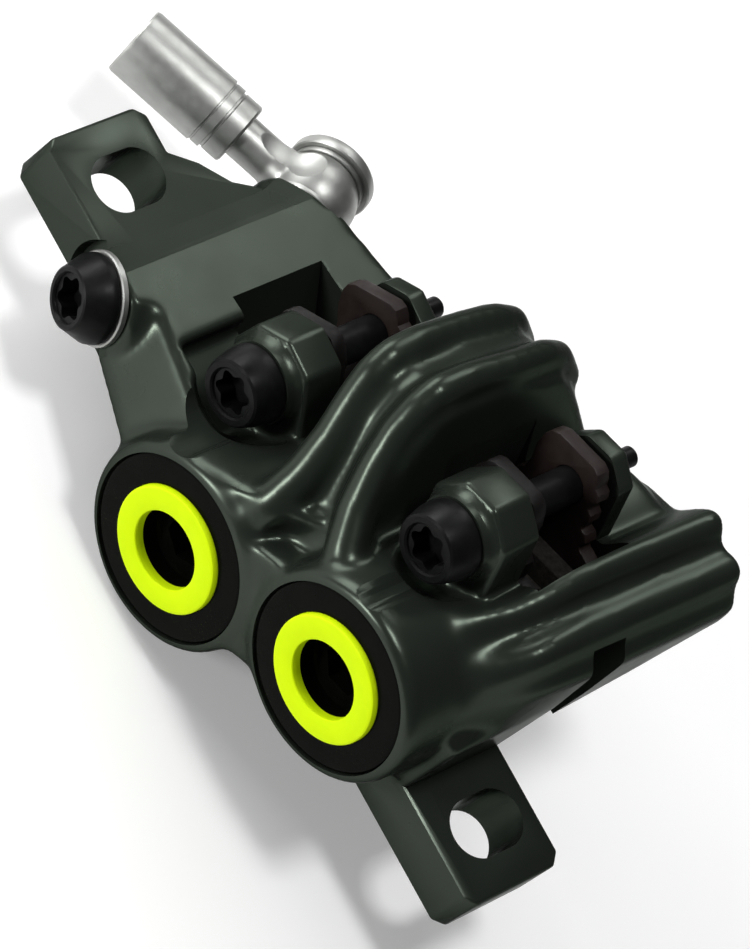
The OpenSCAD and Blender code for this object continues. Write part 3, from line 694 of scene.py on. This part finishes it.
def machine(skin):
    """Cuts the openings out of the forging, each with one clean solid."""
    hub = CORE @ move(0, 0, -ROTOR_DROP) @ turn(90, "X")
    carve(skin, drum, ROTOR_ROOM, ROTOR_ROOM, -ROTOR_HALF_GAP, ROTOR_HALF_GAP, hub, 360)
    for place in (UPPER, LOWER):
        extra = WINDOW_EXTRA if place == UPPER else 0.0
        carve(skin, block_of, (-POCKET_HALF_WIDTH - extra, -POCKET_HALF_LENGTH, -20),
              (POCKET_HALF_WIDTH, POCKET_HALF_LENGTH, 40), pad_frame(place, "outer"))
        carve(skin, lathe, [(0, BORE_START), (BORE_R, BORE_START), (BORE_R, CAP_SEAT),
                            (CAP_HOLE_R, CAP_SEAT), (CAP_HOLE_R, 25), (0, 25)],
              outward_frame(place, "outer"))
        carve(skin, lathe, [(0, BORE_START), (BORE_R, BORE_START), (BORE_R, INNER_BORE_END),
                            (0, INNER_BORE_END)], outward_frame(place, "inner"))
        carve(skin, lathe, [(0, -9.8), (SCREW_HOLE_R, -9.8), (SCREW_HOLE_R, SCREW_HEAD_SEAT),
                            (4.8, SCREW_HEAD_SEAT), (4.8, 25), (0, 25)], screw_axis(place))
    half = [math.radians(a) for a in range(0, 180, 6)]
    slot = ([(SLOT_R * math.cos(a), SLOT_HALF_TRAVEL + SLOT_R * math.sin(a)) for a in half]
            + [(-SLOT_R * math.cos(a), -SLOT_HALF_TRAVEL - SLOT_R * math.sin(a)) for a in half])
    for end in (UPPER, LOWER):
        carve(skin, prism, slot, -1, 8, move(end * SLOT_X, 0, 0))
    for axis, depth, spot, past in ((BLEED, -6, BLEED_SPOT_R, 12), (HOSE, -8, HOSE_SPOT_R, 14)):
        carve(skin, lathe, [(0, depth), (PORT_HOLE_R, depth), (PORT_HOLE_R, 0), (spot, 0),
                            (spot, past), (0, past)], axis)
    carve(skin, block_of, (-8, -6, -20), (8, 50, 0), ARM_UNDERSIDE)


def caliper_body():
    skin = forged_shape()
    carve(skin, block_of, (-12, -40, 0), (0, 40, 10), PANEL_EDGE)
    for place in (UPPER, LOWER):
        for side in SIDES:
            combine(skin, lug(place, side), "UNION")
    for end in (UPPER, LOWER):
        combine(skin, ear(end), "UNION")
    machine(skin)
    finish_piece(skin, "caliper", "caliper_body", body_finish, crease=38)


# Turned and small pieces

def square_ring(bm, inner, outer, low, high, matrix, edge):
    """Ring of rectangular section with broken edges."""
    e = edge
    lathe(bm, [(inner + e, low), (outer - e, low), (outer, low + e), (outer, high - e),
               (outer - e, high), (inner + e, high), (inner, high - e), (inner, low + e)],
          matrix, ring=True)


def socket(bm, low, high, matrix):
    """Cutter for a six-lobed socket."""
    outline = []
    for k in range(72):
        a = math.tau * k / 72
        r = SOCKET_WIDTH / 2 * (0.88 + 0.12 * math.cos(6 * a))
        outline.append((r * math.cos(a), r * math.sin(a)))
    prism(bm, outline, low, high, matrix)


def cap(place, end):
    axis = outward_frame(place, "outer")
    disc = made_by("cap_disc_" + end, lathe, [
        (0, 17.2), (8.42, 17.2), (8.5, 17.3), (8.5, 17.8), (7.42, 17.8), (7.42, 19.14),
        (8.5, 19.14), (8.5, CAP_SEAT), (9.88, CAP_SEAT), (10.0, 20.22), (10.0, 23.05),
        (9.94, 23.2), (9.8, 23.28), (9.6, 23.3), (6.9, 23.3), (6.82, 23.22), (6.82, 22.8),
        (RECESS_R, 22.8), (RECESS_R, 20.9), (4.0, RECESS_FLOOR), (0, RECESS_FLOOR)], axis)
    corners = [math.radians(60 * k) for k in range(6)]
    carve(disc, prism, [(CAP_SOCKET_R * math.cos(a), CAP_SOCKET_R * math.sin(a))
                        for a in corners], 18.2, 24, axis)
    finish_piece(disc, "caliper", "cap_" + end, gloss_finish, crease=25)
    band = made_by("cap_band_" + end, lathe, [
        (RECESS_R, 22.82), (6.72, 22.82), (6.8, 22.9), (6.8, 23.8), (6.76, 23.9), (6.66, 23.97),
        (6.5, 24.0), (4.4, 24.0), (4.26, 23.95), (RECESS_R, 23.84)], axis, ring=True)
    # The ring's yellow finish carries a painted glow
    finish_piece(band, "caliper", "cap_ring_" + end, yellow_glow_finish, crease=25)
    seal = made_by("cap_oring_" + end, square_ring, 7.44, 8.5, 17.84, 19.1, axis, 0.3)
    finish_piece(seal, "caliper", "cap_seal_" + end, rubber_finish, crease=60)


def pad_screw(place, end):
    axis = screw_axis(place)
    screw = made_by("pad_screw_" + end, lathe, [
        (0, -13.2), (0.9, -13.2), (1.1, -13.0), (1.1, -10.9), (1.95, -10.1), (SCREW_R, -10.0),
        (SCREW_R, SCREW_HEAD_SEAT), (3.95, SCREW_HEAD_SEAT), (4.15, 13.12), (4.2, 13.35),
        (4.14, 14.5), (3.74, 16.25), (3.62, 16.6), (3.4, 16.8), (2.8, 16.8), (2.62, 16.6),
        (2.58, 16.4), (0, 16.4)], axis)
    carve(screw, socket, 14.3, 18, axis)
    finish_piece(screw, "caliper", "pad_screws", black_finish)


def piston_set(place, side, end):
    tag = "%s_%s" % (side, end)
    body = "pad_" + tag
    axis = outward_frame(place, side)
    cup = made_by("piston_cup_" + tag, lathe, [
        (0, MAGNET_BACK), (4.02, MAGNET_BACK), (4.02, 5.75), (4.2, PLATE_BACK),
        (8.3, PLATE_BACK), (PISTON_R, 5.8), (PISTON_R, 14.9), (8.0, 15.4), (6.5, 15.4),
        (6.3, 15.2), (6.3, 9.7), (6.1, 9.5), (0, 9.5)], axis)
    finish_piece(cup, body, "piston_" + tag, piston_finish)
    puck = made_by("pad_magnet_" + tag, lathe, [
        (0, PLATE_BACK), (3.8, PLATE_BACK), (MAGNET_R, 5.8), (MAGNET_R, 7.9),
        (3.8, MAGNET_BACK), (0, MAGNET_BACK)], axis)
    finish_piece(puck, body, "magnet_" + tag, silver_finish)
    seal = made_by("piston_seal_" + tag, square_ring, 8.55, 9.95, 8.82, 10.72, axis, 0.15)
    finish_piece(seal, "caliper", "seal_" + tag, rubber_finish)


# Outline of a backing plate, which is notched beside its tab, and of a lining
PLATE_OUTLINE = (
    (7.6, -6.4), (7.6, 5.2), (7.2, 5.6), (7.2, 6.4), (7.6, 6.8), (7.6, 9.0), (6.4, 10.2),
    (6.2, 10.2), (5.8, 10.7), (6.4, 11.5), (5.9, 12.3), (5.2, 12.5), (5.1, 13.2), (5.6, 13.8),
    (5.5, 14.7), (4.9, 15.1), (4.9, 15.9), (5.5, 16.5), (5.3, 17.4), (4.7, 17.8), (4.6, 18.5),
    (4.2, 19.3), (3.4, 19.75), (-1.6, 19.75), (-2.6, 19.3), (-3.2, 18.4), (-3.6, 16.6),
    (-3.4, 14.6), (-3.7, 13.2), (-4.5, 12.4), (-4.6, 11.0), (-4.4, 10.2), (-6.4, 10.2),
    (-7.6, 9.0), (-7.6, 6.8), (-7.2, 6.4), (-7.2, 5.6), (-7.6, 5.2), (-7.6, -6.4),
    (-6.0, -8.0), (6.0, -8.0))
LINING_OUTLINE = ((-5.3, -7.7), (5.3, -7.7), (7.3, -5.7), (7.3, 6.0), (5.3, 8.0), (-5.3, 8.0),
                  (-7.3, 6.0), (-7.3, -5.7))
TAB_START = 10


def pad(place, side, end):
    """Backing plate with a notched edge, and the friction lining on it."""
    tag = "%s_%s" % (side, end)
    axis = outward_frame(place, side)
    shift = INNER_TAB_SHIFT if side == "inner" else 0.0
    bm = bmesh.new()
    prism(bm, [(-x + (shift if v > TAB_START else 0), v) for x, v in PLATE_OUTLINE],
          PLATE_FACE, PLATE_BACK, axis)
    soften(bm, width=0.16, segments=2, angle=50)
    plate = to_object("pad_plate_" + tag, bm)
    hole = pad_frame(place, side) @ move(0, 0, SCREW_RISE) @ turn(90, "X")
    carve(plate, drum, 2.08, 2.08, 0, 9, hole, 48)
    # Outer plates take the darkened copy of the brown finish, which is painted shade; the plates
    # themselves are all alike
    finish_piece(plate, "pad_" + tag, "plate_" + tag,
                 plate_finish if side == "inner" else painted_shade_finish, crease=30)
    bm = bmesh.new()
    prism(bm, LINING_OUTLINE, LINING_FACE, PLATE_FACE, axis)
    soften(bm, width=0.2, segments=2, angle=40)
    lining = to_object("pad_lining_" + tag, bm)
    carve(lining, block_of, (-0.6, -2.0, -9), (0.6, 0, 9), pad_frame(place, side))
    finish_piece(lining, "pad_" + tag, "lining_" + tag, lining_finish, crease=30)


def bleed_port():
    screw = made_by("bleed_bolt", lathe, [
        (0, -5), (2.3, -5), (2.5, -4.8), (2.5, 0.8), (4.45, 0.8), (4.65, 0.95), (4.7, 1.2),
        (4.6, 1.9), (3.46, 3.9), (3.32, 4.18), (3.1, 4.3), (2.72, 4.3), (2.56, 4.1),
        (2.52, 3.9), (0, 3.9)], BLEED)
    carve(screw, socket, 1.9, 6, BLEED)
    finish_piece(screw, "caliper", "bleed_screw", black_finish)
    washer = made_by("bleed_disc", square_ring, PORT_HOLE_R, 4.95, 0.01, 0.79, BLEED, 0.14)
    finish_piece(washer, "caliper", "bleed_washer", silver_finish)


def hose_eye():
    """Eye with its neck and the barb, bored for the bolt and for the fluid."""
    bm = bmesh.new()
    ball(bm, EYE_BALL_R, EYE, 48, 32)
    drum(bm, NECK_R, NECK_R, 0, 12.2, SLEEVE, 48)
    drum(bm, 3.5, NECK_R, 1.0, 5.6, SLEEVE, 48)
    eye = to_object("hose_eye", bm)
    melt(eye, EYE_FINE, passes=5)
    for z in (EYE_HALF_WIDTH, -4 - EYE_HALF_WIDTH):
        carve(eye, block_of, (-8, -8, z), (8, 8, z + 4), EYE)
    carve(eye, ball, EYE_DIMPLE_R, EYE @ move(*EYE_DIMPLE), 64, 40)
    carve(eye, drum, EYE_HOLE_R, EYE_HOLE_R, -6, 6, EYE, 64)
    join(eye, lathe, [(0, 11.9), (1.5, 11.9), (1.5, 21.0), (1.3, 21.2), (0, 21.2)], SLEEVE, 48)
    carve(eye, drum, HOSE_PATH_R, HOSE_PATH_R, 3.2, 30, SLEEVE, 32)
    finish_piece(eye, "hose", "hose_fitting", silver_finish, crease=30)


def hose_sleeve():
    """Sleeve that grips the hose, with two turned grooves and a rolled mouth."""
    sleeve = made_by("hose_grip", lathe, [
        (2.44, 9.8), (3.3, 9.8), (3.5, 9.9), (3.62, 10.1), (3.62, 12.0), (3.5, 12.1),
        (3.5, 12.35), (3.8, 12.4), (3.8, 13.4), (3.72, 13.46), (3.72, 13.62), (3.95, 13.7),
        (3.95, 24.1), (3.9, 24.4), (3.78, 24.58), (3.55, 24.6), (3.3, 24.5), (2.95, 24.1),
        (2.8, 23.8), (2.8, 12.2), (2.44, 12.2)], SLEEVE, ring=True)
    finish_piece(sleeve, "hose", "hose_sleeve", silver_finish, crease=24)


def hose_bolt():
    bolt = made_by("hollow_bolt", lathe, [
        (0, -7), (2.3, -7), (2.5, -6.8), (2.5, 6.8), (4.75, 6.8), (4.88, 6.92), (4.9, 7.0),
        (4.9, 7.9), (4.8, 8.1), (4.6, 8.2), (0, 8.2)], HOSE)
    carve(bolt, socket, 6.9, 10, HOSE)
    finish_piece(bolt, "caliper", "hose_bolt", silver_finish)
    for name, low in (("inner", 0.01), ("outer", 6.21)):
        washer = made_by("hose_disc_" + name, square_ring, PORT_HOLE_R, 4.3, low, low + 0.58,
                         HOSE, 0.1)
        finish_piece(washer, "caliper", "hose_washer_" + name, silver_finish)


# Floor, lamps and world, in metres

def pale_floor():
    """Floor that keeps its shadow and looks near white to the camera and in reflections."""
    bm = bmesh.new()
    bmesh.ops.create_grid(bm, x_segments=1, y_segments=1, size=3.0)
    obj = to_object("floor", bm, outward=False)
    f = Finish("floor_finish")
    f.set({"Base Color": (0.9, 0.9, 0.9, 1), "Roughness": 0.9, "Specular IOR Level": 0.0,
           "Emission Color": (1, 1, 1, 1)})
    path = f.node("ShaderNodeLightPath")
    seen = path.outputs["Is Camera Ray"]
    for other in ("Is Glossy Ray", "Is Transmission Ray"):
        either = f.node("ShaderNodeMath", operation="MAXIMUM")
        f.link(seen, either.inputs[0])
        f.link(path.outputs[other], either.inputs[1])
        seen = either.outputs[0]
    f.link(f.span(seen, 0.0, FLOOR_GLOW, 0.0, 1.0), f.shader.inputs["Emission Strength"])
    obj.data.materials.append(f.mat)
    obj.location = (0, 0, cad_box[0][2] - FLOOR_GAP)


def lamp(name, place, size, size_y, power):
    """Rectangular lamp that shines at the frame's origin."""
    data = bpy.data.lights.new(name, "AREA")
    data.shape = "RECTANGLE"
    data.size = size
    data.size_y = size_y
    data.energy = power
    obj = bpy.data.objects.new(name, data)
    bpy.context.scene.collection.objects.link(obj)
    obj.location = place
    obj.rotation_euler = (-Vector(place)).to_track_quat("-Z", "Y").to_euler()


def world_light(level):
    world = bpy.data.worlds.new("world")
    bpy.context.scene.world = world
    world.use_nodes = True
    back = world.node_tree.nodes["Background"]
    back.inputs["Color"].default_value = (1, 1, 1, 1)
    back.inputs["Strength"].default_value = level


set_camera()
caliper_body()
for end_name, end_place in ENDS.items():
    cap(end_place, end_name)
    pad_screw(end_place, end_name)
    for side_name in SIDES:
        piston_set(end_place, side_name, end_name)
        pad(end_place, side_name, end_name)
bleed_port()
hose_eye()
hose_sleeve()
hose_bolt()

pale_floor()
world_light(WORLD_LEVEL)
lamp("lamp_left", (-0.74, 0.02, 0.36), 0.7, 0.36, 5.5)
lamp("lamp_above", (-0.02, -0.04, 0.9), 0.16, 0.16, 3.2)
lamp("lamp_panel", (-0.39, 0.56, 0.62), 0.26, 0.5, 1.9)
lamp("lamp_low", (-0.33, -0.70, 0.20), 0.16, 0.16, 4.0)

bpy.context.scene.view_settings.view_transform = "Standard"
